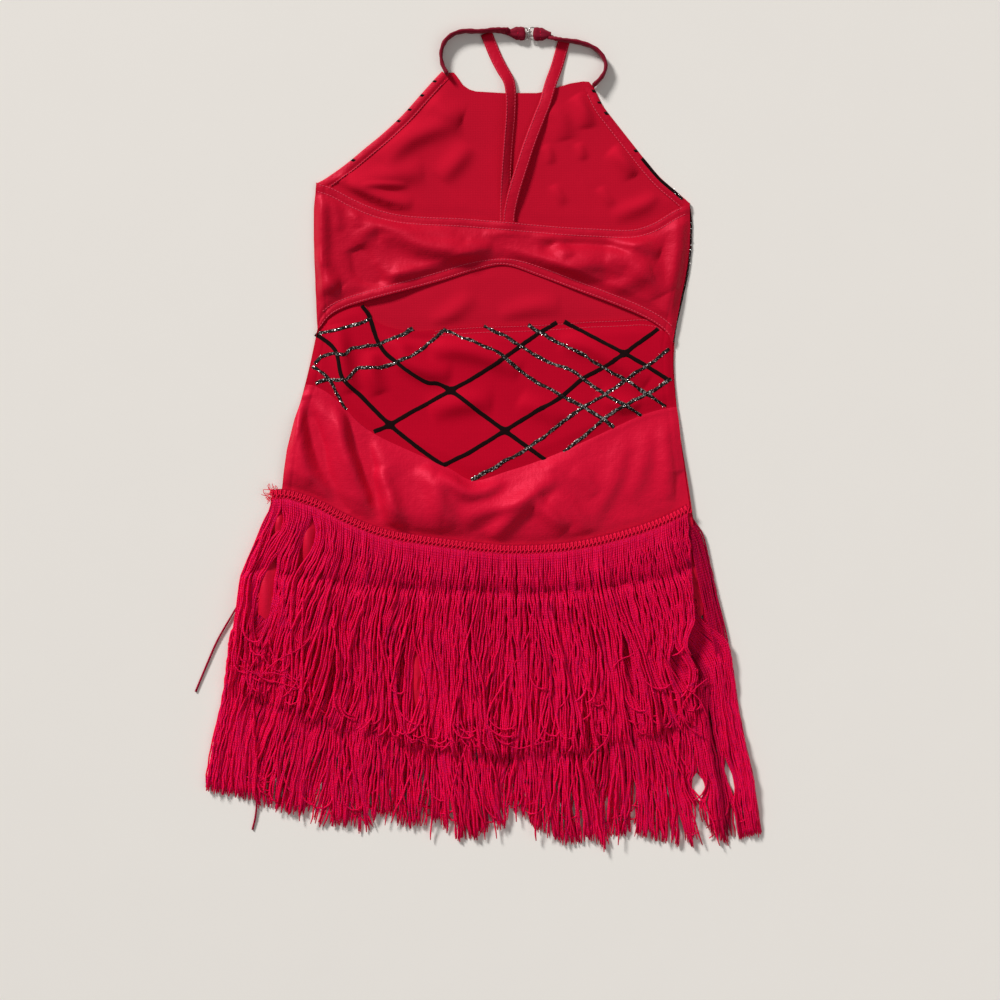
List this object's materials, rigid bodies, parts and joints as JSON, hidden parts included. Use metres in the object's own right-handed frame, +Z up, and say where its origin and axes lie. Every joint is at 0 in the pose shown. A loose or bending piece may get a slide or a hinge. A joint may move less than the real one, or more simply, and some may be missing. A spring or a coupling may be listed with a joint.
{
  "type": "dance leotard",
  "caption": "Halter-neck dance leotard with an open back, crossed straps, a lattice back inset and a long fringe skirt, laid flat.",
  "frame": {"origin": "on the surface that the garment lies on, under the middle of its outline", "axes": "+Y from the fringe hem towards the neck, +Z up from the surface through the layers, +X to the right of somebody looking down on the garment's back"},
  "size_m": [0.5361, 0.7832, 0.0114],
  "materials": {
    "knit": "matte red stretch knit, with a lattice of dark lines on its outside",
    "elastic": "red stretch binding over elastic, twin stitched",
    "satin": "shiny red satin spandex",
    "inset": "red stretch knit with a lattice of black velvet and glitter lines",
    "neck": "dark red folded stretch band",
    "steel": "plated steel wire",
    "fringe": "red rayon chainette fringe"
  },
  "bodies": {
    "root": {"front_panel": "knit", "armhole_casing_left": "elastic", "armhole_casing_right": "elastic", "back_band": "satin", "band_top_casing": "satin", "band_arch_casing": "satin", "lower_back_panel": "inset", "hip_panel": "satin", "shoulder_strap_left": "elastic", "shoulder_strap_right": "elastic", "neck_band_left": "neck", "neck_band_right": "neck", "neck_tab_left": "neck", "neck_tab_right": "neck", "neck_hook": "steel", "neck_ring": "steel", "fringe_back_upper": "fringe", "fringe_back_lower": "fringe", "fringe_front_upper": "fringe", "fringe_front_lower": "fringe"}
  },
  "joints": []
}
